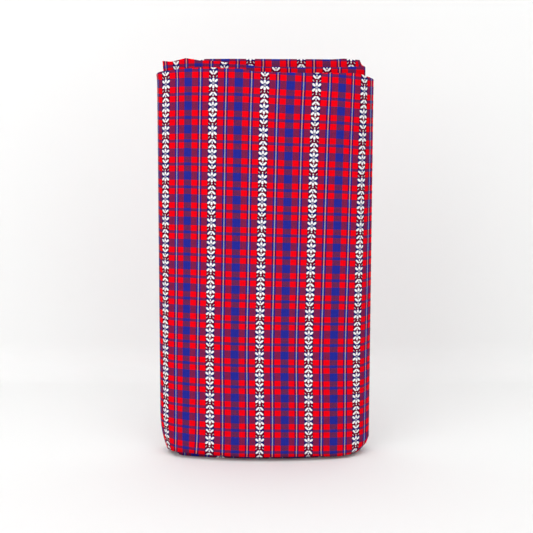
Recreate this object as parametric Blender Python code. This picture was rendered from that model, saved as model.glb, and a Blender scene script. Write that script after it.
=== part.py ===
"""A folded length of plaid cloth, standing on its lower edge with its smooth panel to the front (-Y).

The cloth is folded back and forth along its length into a flat strip as tall as the bundle, and the
strip is then wound flat about the vertical axis. So the plan section is one continuous strip that
runs back and forth five times, a little apart, and its inner turns stand higher than the outer one.
"""

import math
from collections import namedtuple

import bpy
import numpy as np

MM = 0.001  # every size below is in millimetres

# The strip in plan, before the bundle is plumped up: even layers and half-round bends.
LAYER_THICKNESS = 6.5
LAYER_GAP = 0.8
LAYER_PITCH = LAYER_THICKNESS + LAYER_GAP
CENTRE_LAYER = 2  # layers count from 0 at the front to 4 at the back
LEFT_BEND_X = -91.2
RIGHT_BEND_X = 93.1
INNER_BEND_X = 92.2  # the right bend between the inner front and the core
RIGHT_BEND_STRETCH = 1.25  # the right bends are pulled longer than a half circle
OUTER_END_X = 90.0  # the free end on the back
CORE_END_X = -80.0  # the free end inside the winding

# How the even plan is plumped up into the real bundle.
HALF_WIDTH = 110.9
MIDDLE_SWELL = 0.5  # layers are this share thicker at the middle than at the sides
SWELL_POWER = 3.0
BOW_LENGTH = 1000.0  # the sides lie back by x squared over this length
RIGHT_SWEEP = 9.0  # the right side is swept back by this much more
RIGHT_SWEEP_START = 87.0
LEFT_SPREAD = 1.8  # the left side stands this much further out at the floor than at the top
WAIST = 6.0  # the front is hollow by this much at half height
WAIST_EASE = 0.12  # each layer behind the front follows the hollow by this share less
BUNDLE_HEIGHT = 407.0

# The lower corners are drawn in along a quarter ellipse.
Corner = namedtuple("Corner", "side inset height")
CORNERS = (Corner(-1, 14.5, 44.0), Corner(1, 13.0, 28.0))
CORNER_EASE_START = 40.0
CORNER_EASE_END = 82.0

# The strip's runs from its outer end to its core.
Run = namedtuple("Run", "name layer start_x end_x")
RUNS = (
    Run("outer back", 4, OUTER_END_X, LEFT_BEND_X),
    Run("outer front", 0, LEFT_BEND_X, RIGHT_BEND_X),
    Run("inner back", 3, RIGHT_BEND_X, LEFT_BEND_X),
    Run("inner front", 1, LEFT_BEND_X, INNER_BEND_X),
    Run("core", 2, INNER_BEND_X, CORE_END_X),
)
RUN_STEP = 14.0
BEND_STEPS = 9

# Heights of the strip's upper and lower edge along its runs.
Edge = namedtuple("Edge", "run x height")
UPPER_EDGE = (
    Edge("outer back", 90.0, 397.0),
    Edge("outer back", 40.0, 400.0),
    Edge("outer back", -60.0, 399.0),
    Edge("outer back", -90.0, 390.0),
    Edge("outer front", -90.0, 394.0),
    Edge("outer front", -55.0, 397.0),
    Edge("outer front", -24.0, 396.0),
    Edge("outer front", -12.0, 393.0),
    Edge("outer front", 40.0, 391.8),
    Edge("outer front", 90.0, 391.6),
    Edge("inner back", 90.0, 388.0),
    Edge("inner back", 68.0, 401.0),
    Edge("inner back", -60.0, 403.0),
    Edge("inner front", -90.0, 405.0),
    Edge("inner front", -78.0, 407.0),
    Edge("inner front", -64.0, 404.6),
    Edge("inner front", -18.0, 400.5),
    Edge("inner front", 2.0, 398.2),
    Edge("inner front", 62.0, 398.0),
    Edge("inner front", 98.0, 399.0),
    Edge("core", 95.5, 406.4),
    Edge("core", 75.0, 407.0),
    Edge("core", -62.0, 406.6),
    Edge("core", -80.0, 401.0),
)
LOWER_EDGE = (
    Edge("outer back", 90.0, 0.0),
    Edge("outer back", -80.0, 0.0),
    Edge("outer front", -90.0, 6.0),
    Edge("outer front", -80.0, 4.0),
    Edge("outer front", 80.0, 3.6),
    Edge("outer front", 90.0, 7.0),
    Edge("inner back", 75.0, 0.0),
    Edge("core", -80.0, 0.0),
)

# The section across the strip: side points as shares of its height, and the rolled folds on top.
SIDE_SHARES = (0.0, 0.01, 0.03, 0.065, 0.13, 0.26, 0.41, 0.56, 0.71, 0.86, 0.96, 1.0)
EDGE_CHAMFER = 1.4
FOLD_COUNT = 3
FOLD_ANGLES = (math.radians(125), math.radians(55))
FOLD_DROPS = (0.0, 1.5, 0.7)  # how far each fold lies below the upper edge
FOLD_VALLEY = 1.6  # depth between two folds, in half widths of one
FOLD_WAVE = 230.0  # length over which the drops rise and fall
FOLD_UNEVENNESS = 0.6  # by this share of themselves

CLOTH_COLOUR = (0.38, 0.07, 0.15, 1.0)  # the plaid's mean colour
CLOTH_ROUGHNESS = 0.9
SMOOTH_ANGLE = math.radians(50)


def layer_y(layer):
    """Even depth of a layer's centre line."""
    return (layer - CENTRE_LAYER) * LAYER_PITCH


def bend_points(start_y, end_y, centre_x, side, stretch):
    """Centre line and outward offsets of a half-round bend, without its two ends."""
    turn = np.linspace(0.0, math.pi, BEND_STEPS + 1)[1:-1]
    radius = abs(end_y - start_y) / 2
    away = np.sign(start_y - end_y)
    outward = np.stack([side * stretch * np.sin(turn), away * np.cos(turn)], axis=1)
    return np.array((centre_x, (start_y + end_y) / 2)) + radius * outward, outward


def strip_path():
    """Stations of the strip's centre line: places, outward offsets, and where each run begins and ends."""
    places = []
    normals = []
    spans = {}
    for run, following in zip(RUNS, (*RUNS[1:], None)):
        count = round(abs(run.end_x - run.start_x) / RUN_STEP) + 1
        outward = -1.0 if run.start_x < run.end_x else 1.0
        first = sum(len(part) for part in places)
        spans[run.name] = (first, first + count - 1)
        xs = np.linspace(run.start_x, run.end_x, count)
        places.append(np.stack([xs, np.full(count, layer_y(run.layer))], axis=1))
        normals.append(np.tile((0.0, outward), (count, 1)))
        if following:
            side = np.sign(run.end_x)
            stretch = RIGHT_BEND_STRETCH if side > 0 else 1.0
            bend = bend_points(layer_y(run.layer), layer_y(following.layer), run.end_x, side, stretch)
            places.append(bend[0])
            normals.append(bend[1])
    return np.concatenate(places), np.concatenate(normals), spans


def edge_heights(table, places, spans):
    """The edge's height at every station, between the table's rows and along the strip's length."""
    steps = np.linalg.norm(np.diff(places, axis=0), axis=1)
    length = np.concatenate([[0.0], np.cumsum(steps)])
    known = []
    for row in table:
        first, last = spans[row.run]
        share = (row.x - places[first, 0]) / (places[last, 0] - places[first, 0])
        known.append((length[first] + share * (length[last] - length[first]), row.height))
    return length, np.interp(length, *zip(*known))


def section(upper, lower, along):
    """The closed section across the strip at one station, as offsets from its centre and heights."""
    half = LAYER_THICKNESS / 2
    fold_half = half / FOLD_COUNT
    wave = 2 * math.pi * along / FOLD_WAVE
    drops = [drop * (1 + FOLD_UNEVENNESS * math.sin(wave + 2 * drop)) for drop in FOLD_DROPS]
    crests = [upper - drop for drop in drops]
    side_low = lower + EDGE_CHAMFER
    outer_rise, inner_rise = (crests[end] - fold_half - side_low for end in (0, -1))
    outer = [(half, side_low + share * outer_rise) for share in SIDE_SHARES]
    inner = [(-half, side_low + share * inner_rise) for share in SIDE_SHARES]
    top = []
    for fold, crest in enumerate(crests):
        middle = half - (2 * fold + 1) * fold_half
        if fold:
            top.append((middle + fold_half, min(crest, crests[fold - 1]) - FOLD_VALLEY * fold_half))
        top.extend(
            (middle - fold_half * math.cos(angle), crest - fold_half * (1 - math.sin(angle)))
            for angle in FOLD_ANGLES
        )
    chamfer = EDGE_CHAMFER
    return [(half - chamfer, lower), *outer, *top, *inner[::-1], (-half + chamfer, lower)]


def settle(points):
    """Turns the even bundle into the real one: lower corners drawn in, sides laid back, middle swollen."""
    x, y, z = points.T
    for corner in CORNERS:
        below = np.clip((corner.height - z) / corner.height, 0.0, 1.0)
        ease = (corner.side * x - CORNER_EASE_START) / (CORNER_EASE_END - CORNER_EASE_START)
        ease = np.clip(ease, 0.0, 1.0)
        x = x - corner.side * corner.inset * (1 - np.sqrt(1 - below**2)) * ease**2 * (3 - 2 * ease)
    rise = np.clip(z / BUNDLE_HEIGHT, 0.0, 1.0)
    x = x - LEFT_SPREAD * np.clip(-x / HALF_WIDTH, 0.0, 1.0) ** 2 * (1 - rise)
    reach = np.clip(np.abs(x) / HALF_WIDTH, 0.0, 1.0)
    swell = 1 + MIDDLE_SWELL * (1 - reach**SWELL_POWER)
    sweep = np.clip((x - RIGHT_SWEEP_START) / (HALF_WIDTH - RIGHT_SWEEP_START), 0.0, None)
    layer = y / LAYER_PITCH + CENTRE_LAYER
    waist = WAIST * (1 - WAIST_EASE * layer) * (1 - reach**2) * np.sin(math.pi * rise)
    depth = y * swell + x**2 / BOW_LENGTH + RIGHT_SWEEP * sweep**2 + waist
    return np.stack([x, depth, z], axis=1)


def strip_mesh(name):
    """One closed solid: the section carried along the path, with a flat cap at each free end."""
    places, normals, spans = strip_path()
    length, upper = edge_heights(UPPER_EDGE, places, spans)
    lower = edge_heights(LOWER_EDGE, places, spans)[1]
    rings = []
    for place, normal, along, high, low in zip(places, normals, length, upper, lower):
        rings.append([(*(place + normal * offset), z) for offset, z in section(high, low, along)])
    points = settle(np.array(rings).reshape(-1, 3))
    middle = (points.min(axis=0) + points.max(axis=0)) / 2
    points[:, :2] -= middle[:2]
    size = len(rings[0])
    last = (len(rings) - 1) * size
    faces = [tuple(range(size)), tuple(reversed(range(last, last + size)))]
    for base in range(0, last, size):
        for corner in range(size):
            following = (corner + 1) % size
            ends = (base + corner, base + size + corner, base + size + following, base + following)
            faces.append(ends)
    mesh = bpy.data.meshes.new(name)
    mesh.from_pydata((points * MM).tolist(), [], faces)
    mesh.shade_smooth()
    mesh.set_sharp_from_angle(angle=SMOOTH_ANGLE)
    return mesh


def cloth_material():
    """Plain matte cotton in the cloth's main red."""
    material = bpy.data.materials.new("plaid_cotton")
    material.use_nodes = True
    shader = material.node_tree.nodes["Principled BSDF"]
    shader.inputs["Base Color"].default_value = CLOTH_COLOUR
    shader.inputs["Roughness"].default_value = CLOTH_ROUGHNESS
    shader.inputs["Metallic"].default_value = 0.0
    return material


def main():
    """Clears the scene and builds the bundle."""
    for old in list(bpy.data.objects):
        bpy.data.objects.remove(old)
    bundle = bpy.data.objects.new("folded_cloth", strip_mesh("folded_cloth"))
    bundle.data.materials.append(cloth_material())
    bpy.context.scene.collection.objects.link(bundle)


main()
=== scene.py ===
import math
from collections import namedtuple

import bpy
import numpy as np
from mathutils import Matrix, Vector


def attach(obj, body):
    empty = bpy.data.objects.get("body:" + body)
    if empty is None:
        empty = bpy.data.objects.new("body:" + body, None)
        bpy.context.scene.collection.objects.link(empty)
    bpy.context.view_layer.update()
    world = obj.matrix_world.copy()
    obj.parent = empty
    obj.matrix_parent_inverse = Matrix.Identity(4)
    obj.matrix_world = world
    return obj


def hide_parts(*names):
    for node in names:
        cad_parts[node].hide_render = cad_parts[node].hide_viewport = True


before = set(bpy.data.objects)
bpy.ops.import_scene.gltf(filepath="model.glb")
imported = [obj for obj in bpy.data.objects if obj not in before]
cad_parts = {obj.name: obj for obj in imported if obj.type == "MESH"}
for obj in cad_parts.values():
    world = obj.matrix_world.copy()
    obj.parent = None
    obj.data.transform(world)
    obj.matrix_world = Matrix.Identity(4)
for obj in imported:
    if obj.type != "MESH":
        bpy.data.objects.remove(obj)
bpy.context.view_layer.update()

mm = 0.001

# How the folded strip runs in plan, in millimetres, before it is plumped up: even layers, half-round bends.
winding = {
    "layerThickness": 6.5,
    "layerGap": 0.8,
    "centreLayer": 2,
    "leftBendX": -91.2,
    "rightBendX": 93.1,
    "innerBendX": 93.0,
    "rightBendStretch": 1.25,
    "outerEndX": 90.0,
    "coreEndX": -80.0,
    "runStep": 6.6,
    "outerBendSteps": 13,
    "innerBendSteps": 9,
}

# How the even plan becomes the real bundle: corners drawn in, middle swollen, sides laid back.
bundle = {
    "halfWidth": 110.9,
    "middleSwell": 0.5,
    "swellPower": 3.0,
    "bowLength": 1000.0,
    "rightSweep": 9.0,
    "rightSweepStart": 87.0,
    "leftSpread": 1.8,
    "waist": 6.0,
    "waistEase": 0.12,
    "height": 407.0,
    "cornerEaseStart": 40.0,
    "cornerEaseEnd": 82.0,
    "flare": 2.3,
    "flareStart": 385.0,
    "flareEaseStart": 70.0,
    "middleX": 0.1515,
    "middleY": 2.355,
}

# The lower corners: how far each is drawn in, from what height, what share of that its cloth slips past the
# stripes, and the power of its curve.
corner = namedtuple("corner", "side inset height slip power")
lowerCorners = (
    corner(-1, 8.6, 44.0, 1.18, 2.3),
    corner(1, 15.0, 12.0, 1.1, 1.2),
)

# The strip's runs from its outer end to its core. Layers count from 0 at the front to 4 at the back.
run = namedtuple("run", "name layer startX endX")
stripRuns = (
    run("outer back", 4, winding["outerEndX"], winding["leftBendX"]),
    run("outer front", 0, winding["leftBendX"], winding["rightBendX"]),
    run("inner back", 3, winding["rightBendX"], winding["leftBendX"]),
    run("inner front", 1, winding["leftBendX"], winding["innerBendX"]),
    run("core", 2, winding["innerBendX"], winding["coreEndX"]),
)

# Heights of the strip's upper and lower edge along its runs.
edge = namedtuple("edge", "run x height")
upperEdge = (
    edge("outer back", 90.0, 397.0),
    edge("outer back", 40.0, 400.0),
    edge("outer back", -60.0, 399.0),
    edge("outer back", -90.0, 390.0),
    edge("outer front", -111.0, 392.5),
    edge("outer front", -104.8, 393.5),
    edge("outer front", -88.4, 394.6),
    edge("outer front", -79.6, 396.0),
    edge("outer front", -54.4, 396.2),
    edge("outer front", -38.0, 395.2),
    edge("outer front", -20.4, 395.0),
    edge("outer front", -16.0, 392.4),
    edge("outer front", -3.6, 391.6),
    edge("outer front", 14.8, 391.0),
    edge("outer front", 40.4, 390.7),
    edge("outer front", 90.8, 391.4),
    edge("outer front", 99.6, 389.2),
    edge("outer front", 108.0, 387.8),
    edge("inner back", 90.0, 388.0),
    edge("inner back", 68.0, 401.0),
    edge("inner back", -60.0, 403.0),
    edge("inner front", -101.6, 405.5),
    edge("inner front", -92.0, 403.4),
    edge("inner front", -86.4, 404.6),
    edge("inner front", -78.0, 406.6),
    edge("inner front", -73.2, 406.0),
    edge("inner front", -67.2, 404.2),
    edge("inner front", -51.2, 403.4),
    edge("inner front", -35.2, 401.2),
    edge("inner front", -18.4, 399.4),
    edge("inner front", -5.6, 397.6),
    edge("inner front", 14.8, 396.8),
    edge("inner front", 59.6, 397.0),
    edge("inner front", 80.8, 398.0),
    edge("inner front", 98.4, 399.0),
    edge("core", 96.2, 401.4),
    edge("core", 94.6, 406.8),
    edge("core", 89.0, 407.2),
    edge("core", 83.0, 406.8),
    edge("core", 78.2, 408.2),
    edge("core", 71.0, 406.7),
    edge("core", 11.0, 406.3),
    edge("core", -59.8, 407.0),
    edge("core", -80.0, 401.0),
)
lowerEdge = (
    edge("outer back", 90.0, 0.0),
    edge("outer back", -80.0, 0.0),
    edge("outer front", -104.0, 5.2),
    edge("outer front", -90.0, 6.4),
    edge("outer front", -60.0, 5.9),
    edge("outer front", -20.8, 4.8),
    edge("outer front", 8.4, 4.8),
    edge("outer front", 50.4, 5.0),
    edge("outer front", 90.0, 2.8),
    edge("outer front", 100.0, 4.4),
    edge("inner back", 75.0, 0.0),
    edge("core", -80.0, 0.0),
)

# Where the weave lies on the strip: the plaid repeat that passes each place, how far its stripes lean to the
# right for each millimetre up, and how much of the bow below they take.
warpAt = namedtuple("warpAt", "run x repeat lean bow")
warpPlaces = (
    warpAt("outer back", 90.0, -5.09, 0.012, 1.0),
    warpAt("outer back", -90.0, -1.42, 0.008, 1.0),
    warpAt("outer front", -108.4, -0.7517, 0.003, 0.4),
    warpAt("outer front", -99.4, -0.5, 0.0112, 0.4),
    warpAt("outer front", -78.4, 0.0, 0.0158, 0.1),
    warpAt("outer front", -53.55, 0.5, 0.0173, 0.8),
    warpAt("outer front", -28.4, 1.0, 0.0152, 1.0),
    warpAt("outer front", -3.2, 1.5, 0.0164, 1.0),
    warpAt("outer front", 22.25, 2.0, 0.0149, 1.1),
    warpAt("outer front", 46.9, 2.5, 0.0191, 1.3),
    warpAt("outer front", 72.9, 3.0, 0.0177, 1.2),
    warpAt("outer front", 96.1, 3.5, 0.0125, 0.7),
    warpAt("outer front", 103.1, 3.7517, 0.0092, 0.1),
    warpAt("inner front", -99.2, 8.2517, 0.0154, 1.0),
    warpAt("inner front", -91.0, 8.5, 0.0154, 1.0),
    warpAt("inner front", -81.5, 8.7483, 0.0154, 1.0),
    warpAt("inner front", -68.8, 9.0, 0.0154, 1.0),
    warpAt("inner front", -17.5, 10.0, 0.0154, 1.0),
    warpAt("inner front", 32.9, 11.0, 0.0154, 1.0),
    warpAt("inner front", 83.3, 12.0, 0.0154, 1.0),
    warpAt("core", 89.8, 12.5, 0.0154, 1.0),
    warpAt("core", 65.0, 13.0, 0.0154, 1.0),
    warpAt("core", 14.2, 14.0, 0.0154, 1.0),
    warpAt("core", -35.8, 15.0, 0.0154, 1.0),
    warpAt("core", -80.0, 15.86, 0.0154, 1.0),
)
# The heights of the strip's highest and lowest full bands, and how much of the sag below they take.
weftAt = namedtuple("weftAt", "run x high low sag")
weftPlaces = (
    weftAt("outer back", 90.0, 392.9, 33.1, 1.0),
    weftAt("outer back", -90.0, 388.5, 27.0, 1.0),
    weftAt("outer front", -102.0, 381.6, 24.0, 0.85),
    weftAt("outer front", -78.8, 382.6, 22.6, 0.8),
    weftAt("outer front", -28.6, 381.9, 21.3, 1.25),
    weftAt("outer front", 22.5, 378.8, 21.0, 1.12),
    weftAt("outer front", 73.1, 377.2, 19.0, 0.84),
    weftAt("outer front", 97.0, 375.2, 18.4, 0.9),
    weftAt("inner back", 90.0, 378.0, 17.5, 1.0),
    weftAt("inner back", -60.0, 386.0, 24.0, 1.0),
    weftAt("inner front", -93.0, 387.7, 26.0, 1.0),
    weftAt("inner front", -68.7, 388.7, 27.0, 1.0),
    weftAt("inner front", -17.5, 386.7, 25.0, 1.0),
    weftAt("inner front", 32.9, 385.8, 24.2, 1.0),
    weftAt("inner front", 83.0, 386.2, 24.6, 1.0),
    weftAt("core", 86.0, 386.0, 24.4, 1.0),
    weftAt("core", -80.0, 385.5, 23.9, 1.0),
)

# How far the bands lie below even spacing and the stripes to the right of straight, in millimetres, by their
# share of the height. The sag and the bow of the two tables above multiply them.
drift = namedtuple("drift", "rise down right")
weaveDrift = (
    drift(0.0, 0.0, 0.8),
    drift(0.04, 0.1, 0.6),
    drift(0.12, 0.1, 0.1),
    drift(0.23, 0.65, -0.85),
    drift(0.33, 1.4, -1.0),
    drift(0.44, 1.85, -0.75),
    drift(0.55, 2.05, -0.7),
    drift(0.65, 1.95, -0.65),
    drift(0.76, 1.65, -0.55),
    drift(0.87, 0.95, -0.45),
    drift(0.95, 0.4, -0.1),
    drift(1.0, 0.0, 0.3),
)

# The cloth itself, folded back and forth into the strip's thickness. The drops and lifts are each fold's
# distance from the strip's upper and lower edge.
cloth = {
    "plies": 16,
    "thickness": 0.3,
    "foldRise": 0.55,
    "foldAngles": (36.0, 90.0, 144.0),
    "topDrops": (0.0, 0.9, 1.7, 0.7, 1.4, 0.3, 1.1, 0.8),
    "bottomLifts": (0.2, 0.5, 0.0, 0.4, 0.1, 0.6, 0.2),
    "endLifts": (0.0, 0.5),
    "foldWave": 230.0,
    "foldBeat": 0.37,
    "foldPhase": 2.3,
    "foldUnevenness": 0.6,
    "warpRepeat": 51.05,
    "weftRepeat": 22.6,
    "bandRows": 16,
    "leanHeight": 200.0,
    "tileRepeats": (2, 4),
}


def layerY(layer):
    # even depth of a layer's centre line
    return (layer - winding["centreLayer"]) * (winding["layerThickness"] + winding["layerGap"])


def stripPath():
    # straight runs, each joined to the next by half a circle: centre line x, y and the outward direction
    places, outwards, spans, count = [], [], {}, 0
    for part, following in zip(stripRuns, (*stripRuns[1:], None)):
        steps = round(abs(part.endX - part.startX) / winding["runStep"]) + 1
        x = np.linspace(part.startX, part.endX, steps)
        facing = -1.0 if part.startX < part.endX else 1.0
        places.append(np.stack([x, np.full(steps, layerY(part.layer))], axis=1))
        outwards.append(np.tile((0.0, facing), (steps, 1)))
        spans[part.name] = (count, count + steps - 1)
        count += steps
        if following:
            first, last = layerY(part.layer), layerY(following.layer)
            outer = abs(part.layer - following.layer) > 2
            steps = winding["outerBendSteps"] if outer else winding["innerBendSteps"]
            turn = np.linspace(0.0, math.pi, steps + 1)[1:-1]
            side = np.sign(part.endX)
            stretch = winding["rightBendStretch"] if side > 0 else 1.0
            away = np.sign(first - last)
            outward = np.stack([side * stretch * np.sin(turn), away * np.cos(turn)], axis=1)
            places.append(np.array((part.endX, (first + last) / 2)) + abs(last - first) / 2 * outward)
            outwards.append(outward)
            count += steps - 1
    places = np.concatenate(places)
    steps = np.linalg.norm(np.diff(places, axis=0), axis=1)
    return places, np.concatenate(outwards), spans, np.concatenate([[0.0], np.cumsum(steps)])


def alongStrip(rows, column, places, spans, length):
    # a table's column at every station, straight between its rows along the strip's length
    known = []
    for row in rows:
        first, last = spans[row.run]
        share = (row.x - places[first, 0]) / (places[last, 0] - places[first, 0])
        known.append((length[first] + share * (length[last] - length[first]), getattr(row, column)))
    known.sort()
    return np.interp(length, *zip(*known))


def settle(x, y, z):
    # lower corners drawn in by a power of the depth below their start, upper left spread, layers swollen in
    # the middle, sides laid back by the square of x, front hollowed by half a sine wave
    slipped = 0.0
    for place in lowerCorners:
        below = np.clip((place.height - z) / place.height, 0.0, 1.0)
        span = bundle["cornerEaseEnd"] - bundle["cornerEaseStart"]
        ease = np.clip((place.side * x - bundle["cornerEaseStart"]) / span, 0.0, 1.0)
        drawn = -place.side * place.inset * below**place.power * ease**2 * (3 - 2 * ease)
        x = x + drawn
        slipped = slipped + place.slip * drawn
    rise = np.clip(z / bundle["height"], 0.0, 1.0)
    x = x - bundle["leftSpread"] * np.clip(-x / bundle["halfWidth"], 0.0, 1.0) ** 2 * (1 - rise)
    top = np.clip((z - bundle["flareStart"]) / (bundle["height"] - bundle["flareStart"]), 0.0, 1.0)
    beyond = (-x - bundle["flareEaseStart"]) / (bundle["halfWidth"] - bundle["flareEaseStart"])
    x = x - bundle["flare"] * top * np.clip(beyond, 0.0, 1.0)
    reach = np.clip(np.abs(x) / bundle["halfWidth"], 0.0, 1.0)
    swell = 1 + bundle["middleSwell"] * (1 - reach ** bundle["swellPower"])
    sweep = (x - bundle["rightSweepStart"]) / (bundle["halfWidth"] - bundle["rightSweepStart"])
    swept = bundle["rightSweep"] * np.clip(sweep, 0.0, None) ** 2
    layer = y / (winding["layerThickness"] + winding["layerGap"]) + winding["centreLayer"]
    waist = bundle["waist"] * (1 - bundle["waistEase"] * layer) * (1 - reach**2) * np.sin(math.pi * rise)
    depth = y * swell + x**2 / bundle["bowLength"] + swept + waist
    return (x - bundle["middleX"], depth - bundle["middleY"], z), slipped


def foldHeights(upper, lower, length):
    # each fold's crest: the strip's edge, less a drop that varies along the strip as the product of two waves
    def uneven(drop):
        wave = 2 * math.pi * length / cloth["foldWave"] + cloth["foldPhase"] * drop
        return drop * (1 + cloth["foldUnevenness"] * np.sin(wave) * np.cos(cloth["foldBeat"] * wave + drop))
    lowest = lower + cloth["thickness"] / 2
    tops = [upper - uneven(drop) for drop in cloth["topDrops"]]
    bottoms = [lowest + uneven(lift) for lift in cloth["bottomLifts"]]
    ends = [lowest + uneven(lift) for lift in cloth["endLifts"]]
    return tops, [ends[0], *bottoms, ends[1]]


# Points up a ply, as shares of its height: close together near its ends, and closest on the outer ply.
outerPlyShares = np.concatenate([
    np.linspace(0.0, 0.16, 12)[:-1],
    np.linspace(0.16, 0.94, 20)[:-1],
    np.linspace(0.94, 1.0, 6),
])
innerPlyShares = np.array((0.0, 0.012, 0.03, 0.06, 0.11, 0.2, 0.34, 0.5, 0.66, 0.82, 0.94, 1.0))


def serpentine(upper, lower, length):
    # the cloth's way through the strip's thickness: up one ply, over a fold, down the next
    plies = cloth["plies"]
    pitch = winding["layerThickness"] / plies
    tops, bottoms = foldHeights(upper, lower, length)
    offsets, heights = [], []
    for ply in range(plies):
        offset = winding["layerThickness"] / 2 - (ply + 0.5) * pitch
        top = tops[ply // 2] - cloth["foldRise"]
        free = ply in (0, plies - 1)
        bottom = bottoms[(ply + 1) // 2] + (0.0 if free else cloth["foldRise"])
        shares = outerPlyShares if ply == 0 else innerPlyShares
        shares = shares[::-1] if ply % 2 else shares
        offsets.extend([offset] * len(shares))
        heights.extend(bottom + share * (top - bottom) for share in shares)
        if ply == plies - 1:
            break
        end, way = (bottom, -1.0) if ply % 2 else (top, 1.0)
        for angle in np.radians(cloth["foldAngles"]):
            offsets.append(offset - pitch / 2 * (1 - math.cos(angle)))
            heights.append(end + way * cloth["foldRise"] * math.sin(angle))
    return np.array(offsets), np.stack(heights, axis=1)


def clothSurface():
    # every station's section, settled, and the weave's place at each of its points
    places, outwards, spans, length = stripPath()
    table = (places, spans, length)
    upper = alongStrip(upperEdge, "height", *table)
    lower = alongStrip(lowerEdge, "height", *table)
    offsets, z = serpentine(upper, lower, length)
    flatX = places[:, :1] + outwards[:, :1] * offsets
    flatY = places[:, 1:] + outwards[:, 1:] * offsets
    settled, slipped = settle(flatX, flatY, z)
    return np.stack(settled, axis=2), weavePlaces(offsets, z, slipped * -outwards[:, 1:], table)


def weavePlaces(offsets, z, slipped, table):
    # across in plaid repeats, where cloth drawn round a corner slips past the stripes, and along in weft
    # repeats by the length of cloth from its first edge, evened out so that the last ply's bands lie like the
    # first ply's
    length = table[2]
    lean = alongStrip(warpPlaces, "lean", *table)[:, None] * (z - cloth["leanHeight"])
    repeats = alongStrip(warpPlaces, "repeat", *table)
    high = alongStrip(weftPlaces, "high", *table)[:, None]
    low = alongStrip(weftPlaces, "low", *table)[:, None]
    rise = np.clip((z - low) / (high - low), 0.0, 1.0)
    known, down, right = zip(*weaveDrift)
    bow = alongStrip(warpPlaces, "bow", *table)[:, None]
    sag = alongStrip(weftPlaces, "sag", *table)[:, None] / cloth["weftRepeat"]
    shifted = length[:, None] - lean - bow * np.interp(rise, known, right)
    across = np.interp(shifted, length, repeats) + slipped / cloth["warpRepeat"]
    steps = np.hypot(np.diff(offsets), np.diff(z, axis=1))
    travelled = z[:, :1] + np.concatenate([np.zeros((len(z), 1)), np.cumsum(steps, axis=1)], axis=1)
    natural = (travelled - low) / (high - low) * cloth["bandRows"]
    climbing = np.sign(np.gradient(z, axis=1))
    along = natural + climbing * sag * np.interp(rise, known, down)
    firstPly, lastPly = climbing[0].argmin(), len(offsets) - climbing[0][::-1].argmax()
    atHigh = natural[:, -1] - (high - z[:, -1:])[:, 0] / (high - low)[:, 0] * cloth["bandRows"]
    wanted = 2 * np.round((atHigh.mean() - 1) / 2) + 1
    share = np.clip((np.arange(len(offsets)) - firstPly) / (lastPly - firstPly), 0.0, 1.0)
    return np.stack([across, along + (wanted - atHigh)[:, None] * share], axis=2)


def gridMesh(name, points, weave):
    # the grid's quads, outward face first, with the weave's place and the export's tiled one as UV maps
    stations, rows = points.shape[:2]
    index = np.arange(stations * rows).reshape(stations, rows)
    quads = np.stack([index[:-1, :-1], index[1:, :-1], index[1:, 1:], index[:-1, 1:]], axis=2).reshape(-1, 4)
    mesh = bpy.data.meshes.new(name)
    mesh.from_pydata((points.reshape(-1, 3) * mm).tolist(), [], quads.tolist())
    corners = weave.reshape(-1, 2)[quads.ravel()]
    for mapName, scale in (("clothUv", (1, 1)), ("OFBake", cloth["tileRepeats"])):
        layer = mesh.uv_layers.new(name=mapName)
        layer.uv.foreach_set("vector", (corners / scale).astype(np.float32).ravel())
    mesh.shade_smooth()
    return mesh


def newPiece(name, mesh, material):
    # an object at the origin with its place in its mesh
    piece = bpy.data.objects.new(name, mesh)
    bpy.context.scene.collection.objects.link(piece)
    mesh.materials.append(material)
    return piece


def setOrLink(tree, value, socket):
    # a number or colour sets the socket, and another node's output is linked to it
    if isinstance(value, bpy.types.NodeSocket):
        tree.links.new(value, socket)
    else:
        socket.default_value = value


def calc(tree, operation, *values):
    # a Math node's result
    node = tree.nodes.new("ShaderNodeMath")
    node.operation = operation
    for value, socket in zip(values, node.inputs):
        setOrLink(tree, value, socket)
    return node.outputs[0]


def vectorCalc(tree, operation, *values):
    # a Vector Math node's result
    node = tree.nodes.new("ShaderNodeVectorMath")
    node.operation = operation
    for value, socket in zip(values, node.inputs):
        setOrLink(tree, value, socket)
    return node.outputs[0]


def blendColour(tree, share, first, second):
    # first where share is 0, second where it is 1
    node = tree.nodes.new("ShaderNodeMix")
    node.data_type = "RGBA"
    for value, socket in ((share, 0), (first, 6), (second, 7)):
        setOrLink(tree, value, node.inputs[socket])
    return node.outputs[2]


def newGroup(name, inputs, outputs):
    # an empty shader group with its named inputs and outputs
    tree = bpy.data.node_groups.new(name, "ShaderNodeTree")
    for direction, sockets in (("INPUT", inputs), ("OUTPUT", outputs)):
        for label, kind in sockets.items():
            tree.interface.new_socket(label, in_out=direction, socket_type="NodeSocket" + kind)
    return tree, tree.nodes.new("NodeGroupInput").outputs, tree.nodes.new("NodeGroupOutput").inputs


def useGroup(tree, group, values):
    # the outputs of a group placed with these inputs
    node = tree.nodes.new("ShaderNodeGroup")
    node.node_tree = group
    for label, value in values.items():
        setOrLink(tree, value, node.inputs[label])
    return node.outputs


# The weave. Thread counts are whole in every repeat, so the pattern repeats exactly. Bands are in threads.
weaving = {
    "warpsPerRepeat": 134,
    "weftsPerRepeat": 60,
    "wideBandHalf": 11,
    "thinBandHalf": 4,
    "threadContrast": 0.34,
    "threadUnevenness": 0.16,
    "mottling": 0.1,
    "mottleFineness": 6.0,
    # painted shade: how much darker the base colour is painted in the furrows between threads
    "paintedFurrowShade": 0.16,
    "crownFall": 0.4,
    "furrowRoughness": 0.93,
    "crownSmoothing": 0.08,
    "specular": 0.01,
    "reliefStrength": 0.5,
    "reliefDepth": 0.00012,
    "brocadeRise": 0.6,
    "darkest": 0.001,
    "lightLevel": 1.1,
}


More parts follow.
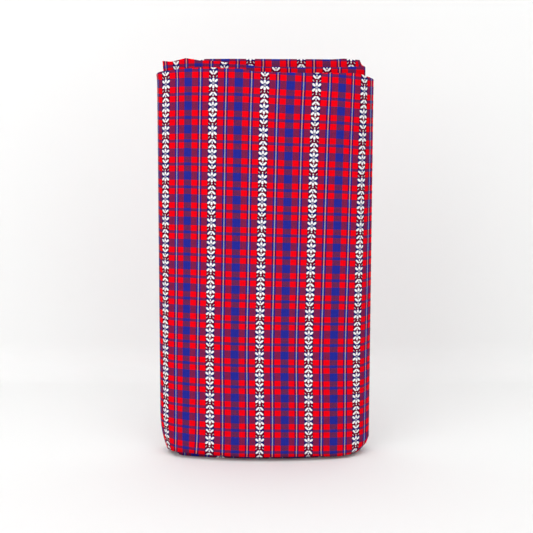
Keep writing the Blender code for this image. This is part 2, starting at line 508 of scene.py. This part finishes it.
def dyed(red, green, blue):
    # a display colour, 0 to 255, as the linear base colour that gives it under this scene's light
    channels = [((c / 255 + 0.055) / 1.055) ** 2.4 if c > 10 else c / 255 / 12.92 for c in (red, green, blue)]
    return (*(channel / weaving["lightLevel"] for channel in channels), 1.0)


# Warp stripes by the thread they start at, counted from the flower stripe's middle, with the colour of the
# thread itself and the mixed colour that it makes with red and with navy weft.
stripe = namedtuple("stripe", "start thread onRed onNavy")
warpStripes = (
    stripe(0, dyed(30, 34, 110), dyed(98, 2, 46), dyed(26, 30, 108)),
    stripe(12, dyed(250, 0, 22), dyed(253, 0, 22), dyed(130, 35, 79)),
    stripe(28, dyed(30, 34, 120), dyed(78, 10, 76), dyed(28, 36, 146)),
    stripe(32, dyed(150, 140, 160), dyed(168, 86, 96), dyed(100, 102, 156)),
    stripe(33, dyed(240, 225, 205), dyed(242, 146, 122), dyed(160, 160, 172)),
    stripe(35, dyed(150, 140, 160), dyed(168, 86, 96), dyed(100, 102, 156)),
    stripe(36, dyed(30, 34, 120), dyed(78, 10, 76), dyed(28, 36, 146)),
    stripe(40, dyed(250, 0, 22), dyed(253, 0, 22), dyed(130, 35, 79)),
    stripe(56, dyed(36, 50, 170), dyed(105, 42, 89), dyed(40, 45, 154)),
)
weftColours = {"red": dyed(250, 0, 22), "navy": dyed(30, 36, 122), "brocade": dyed(255, 255, 255)}

# The woven flower stripe, one quarter of its repeat, as blunt grains: millimetres across and along from a
# flower's middle, half sizes, turn in degrees, and how much of the ground each one covers.
grain = namedtuple("grain", "across along halfLength halfWidth turn cover")
flowerParts = (
    grain(0.0, 3.35, 1.7, 1.02, 90, 1.0),
    grain(2.75, 2.45, 1.95, 1.06, 42, 1.0),
    grain(0.0, 0.0, 1.4, 1.1, 90, 0.34),
)
leafParts = (
    grain(3.35, 6.5, 1.2, 0.4, 52, 0.5),
    grain(0.0, 6.3, 0.7, 0.57, 90, 1.0),
    grain(2.15, 10.1, 2.3, 0.92, 46, 1.0),
    grain(0.0, 9.3, 0.9, 0.4, 90, 0.5),
    grain(0.0, 11.5, 1.2, 0.57, 90, 1.0),
    grain(1.95, 15.15, 2.35, 0.95, 42, 1.0),
    grain(0.0, 16.3, 0.8, 0.5, 90, 0.8),
)
brocade = {
    "drop": 0.042,
    "endBluntness": 3.0,
    "sideBluntness": 2.0,
    "rimStart": 0.85,
    "rimEnd": 1.15,
}


def grainCover(tree, part, across, along):
    # from the equation of an ellipse with blunt ends: the grain's cover inside, falling to 0 over its rim
    turn = math.radians(part.turn)
    x = calc(tree, "SUBTRACT", across, part.across)
    y = calc(tree, "SUBTRACT", along, part.along)
    lengthwise = calc(tree, "ADD", calc(tree, "MULTIPLY", x, math.cos(turn) / part.halfLength),
                      calc(tree, "MULTIPLY", y, math.sin(turn) / part.halfLength))
    sideways = calc(tree, "SUBTRACT", calc(tree, "MULTIPLY", y, math.cos(turn) / part.halfWidth),
                    calc(tree, "MULTIPLY", x, math.sin(turn) / part.halfWidth))
    lengthwise = calc(tree, "POWER", calc(tree, "ABSOLUTE", lengthwise), brocade["endBluntness"])
    sideways = calc(tree, "POWER", calc(tree, "ABSOLUTE", sideways), brocade["sideBluntness"])
    reach = calc(tree, "ADD", lengthwise, sideways)
    rim = tree.nodes.new("ShaderNodeMapRange")
    for value, socket in zip((reach, brocade["rimStart"], brocade["rimEnd"], part.cover, 0.0), rim.inputs):
        setOrLink(tree, value, socket)
    return rim.outputs[0]


def brocadeGroup():
    # how much of the white brocade thread covers each place, folded by the motif's mirror lines
    tree, given, result = newGroup("wovenFlowers", {"Across": "Float", "Along": "Float"}, {"Cover": "Float"})
    centred = calc(tree, "SUBTRACT", calc(tree, "FLOORED_MODULO", given["Across"], 1.0), 0.5)
    across = calc(tree, "MULTIPLY", calc(tree, "ABSOLUTE", centred), cloth["warpRepeat"])
    dropped = calc(tree, "ADD", given["Along"], brocade["drop"])
    nearFlower = calc(tree, "MULTIPLY", calc(tree, "PINGPONG", dropped, 0.5), cloth["weftRepeat"])
    fromFirst = calc(tree, "MULTIPLY", calc(tree, "PINGPONG", dropped, 1.0), cloth["weftRepeat"])
    cover = 0.0
    for parts, along in ((flowerParts, nearFlower), (leafParts, fromFirst)):
        for part in parts:
            cover = calc(tree, "MAXIMUM", cover, grainCover(tree, part, across, along))
    setOrLink(tree, cover, result["Cover"])
    return tree


def threadGroup():
    # plain weave: each place's thread centre, which thread is on top, its height, and its own shade
    tree, given, result = newGroup(
        "plainWeave", {"Across": "Float", "Along": "Float"},
        {"Across": "Float", "Along": "Float", "WarpOnTop": "Float", "Height": "Float", "Shade": "Float"})
    counts = {"Across": weaving["warpsPerRepeat"], "Along": weaving["weftsPerRepeat"]}
    crowns, indices, shades = [], [], []
    for (label, count), tile in zip(counts.items(), cloth["tileRepeats"]):
        place = calc(tree, "MULTIPLY", given[label], float(count))
        index = calc(tree, "FLOOR", place)
        setOrLink(tree, calc(tree, "DIVIDE", calc(tree, "ADD", index, 0.5), float(count)), result[label])
        withinThread = calc(tree, "SUBTRACT", place, index)
        crowns.append(calc(tree, "SINE", calc(tree, "MULTIPLY", withinThread, math.pi)))
        indices.append(index)
        noise = tree.nodes.new("ShaderNodeTexWhiteNoise")
        noise.noise_dimensions = "1D"
        setOrLink(tree, calc(tree, "FLOORED_MODULO", index, float(count * tile)), noise.inputs["W"])
        shades.append(noise.outputs["Value"])
    onTop = calc(tree, "FLOORED_MODULO", calc(tree, "ADD", *indices), 2.0)
    setOrLink(tree, onTop, result["WarpOnTop"])
    def chosen(warp, weft):
        return calc(tree, "ADD", calc(tree, "MULTIPLY", warp, onTop),
                    calc(tree, "MULTIPLY", weft, calc(tree, "SUBTRACT", 1.0, onTop)))
    widthwise = calc(tree, "SQRT", chosen(*crowns))
    fall = weaving["crownFall"]
    lengthwise = calc(tree, "MULTIPLY_ADD", chosen(*crowns[::-1]), fall, 1.0 - fall)
    setOrLink(tree, calc(tree, "MULTIPLY", widthwise, lengthwise), result["Height"])
    setOrLink(tree, calc(tree, "SUBTRACT", chosen(*shades), 0.5), result["Shade"])
    return tree


def mottleGroup():
    # soft unevenness of the yarn that repeats with the pattern: noise on a torus
    tree, given, result = newGroup(
        "yarnMottle", {"Across": "Float", "Along": "Float", "Fineness": "Float"}, {"Value": "Float"})
    circles = []
    for label, tile in zip(("Across", "Along"), cloth["tileRepeats"]):
        turn = calc(tree, "MULTIPLY", given[label], 2 * math.pi / tile)
        for way in ("COSINE", "SINE"):
            circles.append(calc(tree, "MULTIPLY", calc(tree, way, turn), given["Fineness"]))
    joined = tree.nodes.new("ShaderNodeCombineXYZ")
    for value, socket in zip(circles, joined.inputs):
        setOrLink(tree, value, socket)
    noise = tree.nodes.new("ShaderNodeTexNoise")
    noise.noise_dimensions = "4D"
    for label, value in (("Vector", joined.outputs[0]), ("W", circles[3]), ("Scale", 1.0), ("Detail", 2.0)):
        setOrLink(tree, value, noise.inputs[label])
    setOrLink(tree, calc(tree, "SUBTRACT", noise.outputs[0], 0.5), result["Value"])
    return tree


def stripeRamp(tree, across, colours):
    # the warp's colour by its distance from the flower stripe's middle, with sharp edges
    node = tree.nodes.new("ShaderNodeValToRGB")
    ramp = node.color_ramp
    ramp.interpolation = "CONSTANT"
    ramp.elements.remove(ramp.elements[-1])
    for row, colour in zip(warpStripes, colours):
        place = row.start / weaving["warpsPerRepeat"] * 2
        element = ramp.elements.new(place) if place else ramp.elements[0]
        element.color = colour
    setOrLink(tree, across, node.inputs[0])
    return node.outputs[0]


def plaidMaterial():
    # flat plaid colours from the stripes and bands, then the threads' own colours, the flowers, painted shade
    # in the furrows between threads, and the relief
    material = bpy.data.materials.new("plaidCotton")
    material.use_nodes = True
    tree = material.node_tree
    shader = tree.nodes["Principled BSDF"]
    place = tree.nodes.new("ShaderNodeUVMap")
    place.uv_map = "clothUv"
    split = tree.nodes.new("ShaderNodeSeparateXYZ")
    setOrLink(tree, place.outputs[0], split.inputs[0])
    where = {"Across": split.outputs[0], "Along": split.outputs[1]}
    threads = useGroup(tree, threadGroup(), where)
    snapped = {"Across": threads["Across"], "Along": threads["Along"]}
    middle = calc(tree, "SUBTRACT", calc(tree, "FLOORED_MODULO", snapped["Across"], 1.0), 0.5)
    fromFlower = calc(tree, "MULTIPLY", calc(tree, "ABSOLUTE", middle), 2.0)
    wefts = float(weaving["weftsPerRepeat"])
    fromBand = calc(tree, "MULTIPLY", calc(tree, "PINGPONG", snapped["Along"], 0.5), wefts)
    thinBand = wefts / 2 - weaving["thinBandHalf"]
    navyWeft = calc(tree, "MAXIMUM", calc(tree, "LESS_THAN", fromBand, float(weaving["wideBandHalf"])),
                    calc(tree, "GREATER_THAN", fromBand, thinBand))
    onRed = stripeRamp(tree, fromFlower, [row.onRed for row in warpStripes])
    onNavy = stripeRamp(tree, fromFlower, [row.onNavy for row in warpStripes])
    warp = stripeRamp(tree, fromFlower, [row.thread for row in warpStripes])
    weft = blendColour(tree, navyWeft, weftColours["red"], weftColours["navy"])
    flat = blendColour(tree, navyWeft, onRed, onNavy)
    onTop = calc(tree, "SUBTRACT", threads["WarpOnTop"], 0.5)
    side = calc(tree, "MULTIPLY", onTop, weaving["threadContrast"])
    apart = vectorCalc(tree, "SUBTRACT", warp, weft)
    woven = vectorCalc(tree, "MULTIPLY_ADD", apart, side, flat)
    woven = vectorCalc(tree, "MAXIMUM", woven, (weaving["darkest"],) * 3)
    cover = useGroup(tree, brocadeGroup(), snapped)["Cover"]
    coloured = blendColour(tree, cover, woven, weftColours["brocade"])
    mottle = useGroup(tree, mottleGroup(), {**where, "Fineness": weaving["mottleFineness"]})["Value"]
    toneAndPaintedShade = calc(tree, "MULTIPLY_ADD", threads["Shade"], weaving["threadUnevenness"], 1.0)
    toneAndPaintedShade = calc(tree, "MULTIPLY_ADD", mottle, weaving["mottling"], toneAndPaintedShade)
    # painted shade: the base colour is darkened where the threads are low, in the furrows between them, on
    # top of the threads' own random tone and the yarn's mottling
    paintedShadeInFurrows = calc(tree, "MULTIPLY", calc(tree, "SUBTRACT", 1.0, threads["Height"]), weaving["paintedFurrowShade"])
    toneAndPaintedShade = calc(tree, "SUBTRACT", toneAndPaintedShade, paintedShadeInFurrows)
    setOrLink(tree, vectorCalc(tree, "MULTIPLY", coloured, toneAndPaintedShade), shader.inputs["Base Color"])
    smoothing = -weaving["crownSmoothing"]
    roughness = calc(tree, "MULTIPLY_ADD", threads["Height"], smoothing, weaving["furrowRoughness"])
    setOrLink(tree, roughness, shader.inputs["Roughness"])
    bump = tree.nodes.new("ShaderNodeBump")
    relief = calc(tree, "MULTIPLY_ADD", cover, weaving["brocadeRise"], threads["Height"])
    steps = {"Strength": weaving["reliefStrength"], "Distance": weaving["reliefDepth"], "Height": relief}
    for label, value in steps.items():
        setOrLink(tree, value, bump.inputs[label])
    setOrLink(tree, bump.outputs[0], shader.inputs["Normal"])
    shader.inputs["Specular IOR Level"].default_value = weaving["specular"]
    return material


print("folding the cloth")
points, weave = clothSurface()
foldedCloth = newPiece("foldedPlaidCloth", gridMesh("foldedPlaidCloth", points, weave), plaidMaterial())
body = foldedCloth.modifiers.new("thickness", "SOLIDIFY")
body.thickness = cloth["thickness"] * mm
body.offset = 0.0
print("  grid", points.shape, "with", round(float(np.ptp(weave[..., 0])), 2), "plaid repeats across")


# The table and wall, in metres.
backdrop = {
    "halfWidth": 3.0,
    "front": -3.0,
    "back": 0.34,
    "cove": 0.05,
    "coveSteps": 10,
    "height": 2.6,
    "colour": (0.876, 0.881, 0.876, 1.0),
    "roughness": 0.9,
    "specular": 0.1,
}


def addBackdrop():
    # a pale table that sweeps up into a wall behind the bundle: the profile carried straight across
    turn = np.linspace(0.0, math.pi / 2, backdrop["coveSteps"])
    cove = backdrop["cove"]
    curve = np.stack([backdrop["back"] - cove + cove * np.sin(turn), cove - cove * np.cos(turn)], axis=1)
    profile = np.concatenate([[(backdrop["front"], 0.0)], curve, [(backdrop["back"], backdrop["height"])]])
    count = len(profile)
    sides = (-backdrop["halfWidth"], backdrop["halfWidth"])
    rows = [np.column_stack([np.full(count, x), profile]) for x in sides]
    quads = [(step, step + count, step + count + 1, step + 1) for step in range(count - 1)]
    mesh = bpy.data.meshes.new("paleBackdrop")
    mesh.from_pydata(np.concatenate(rows).tolist(), [], quads)
    mesh.shade_smooth()
    material = bpy.data.materials.new("palePaper")
    material.use_nodes = True
    tree = material.node_tree
    shader = tree.nodes["Principled BSDF"]
    shader.inputs["Base Color"].default_value = backdrop["colour"]
    shader.inputs["Roughness"].default_value = backdrop["roughness"]
    shader.inputs["Specular IOR Level"].default_value = backdrop["specular"]
    # clear from behind, so that the wall doesn't hide the bundle's back
    oneSided = tree.nodes.new("ShaderNodeMixShader")
    seeThrough = tree.nodes.new("ShaderNodeBsdfTransparent")
    facing = tree.nodes.new("ShaderNodeNewGeometry")
    sources = (facing.outputs["Backfacing"], shader.outputs[0], seeThrough.outputs[0])
    for value, socket in zip(sources, oneSided.inputs):
        setOrLink(tree, value, socket)
    setOrLink(tree, oneSided.outputs[0], tree.nodes["Material Output"].inputs["Surface"])
    return newPiece("paleBackdrop", mesh, material)


addBackdrop()

# Square lights in metres and watts, and the even light of the room.
softLight = namedtuple("softLight", "name place aim size power")
softLights = (
    softLight("overheadLight", (-0.15, -0.7, 1.7), (0.0, 0.0, 0.15), 1.8, 13.0),
    softLight("leftLight", (-1.3, -1.7, 0.9), (0.0, 0.0, 0.2), 1.4, 11.5),
    softLight("rightLight", (1.2, -1.7, 0.9), (0.0, 0.0, 0.2), 1.4, 6.5),
)
roomLight = {"colour": (1.0, 1.0, 1.0, 1.0), "strength": 0.6}


def addLight(given):
    # a square area light turned towards its aim
    lamp = bpy.data.lights.new(given.name, "AREA")
    lamp.size = given.size
    lamp.energy = given.power
    light = bpy.data.objects.new(given.name, lamp)
    light.location = given.place
    light.rotation_euler = (Vector(given.aim) - Vector(given.place)).to_track_quat("-Z", "Y").to_euler()
    bpy.context.scene.collection.objects.link(light)


print("lighting the table")
for given in softLights:
    addLight(given)
bpy.context.scene.view_settings.view_transform = "Standard"
world = bpy.data.worlds.new("studio")
bpy.context.scene.world = world
world.use_nodes = True
room = world.node_tree.nodes["Background"]
room.inputs["Color"].default_value = roomLight["colour"]
room.inputs["Strength"].default_value = roomLight["strength"]

# The photo's angle: place in metres, pitch in degrees from straight down, lens in millimetres.
view = {"place": (0.0015, -0.945, 0.311), "pitch": 83.162, "lens": 62.58}
camera = bpy.data.objects.new("camera", bpy.data.cameras.new("camera"))
camera.location = view["place"]
camera.rotation_euler = (math.radians(view["pitch"]), 0.0, 0.0)
camera.data.lens = view["lens"]
bpy.context.scene.collection.objects.link(camera)
bpy.context.scene.camera = camera

print("fitting the cloth to the frame")
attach(foldedCloth, "root")
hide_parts("folded_cloth")
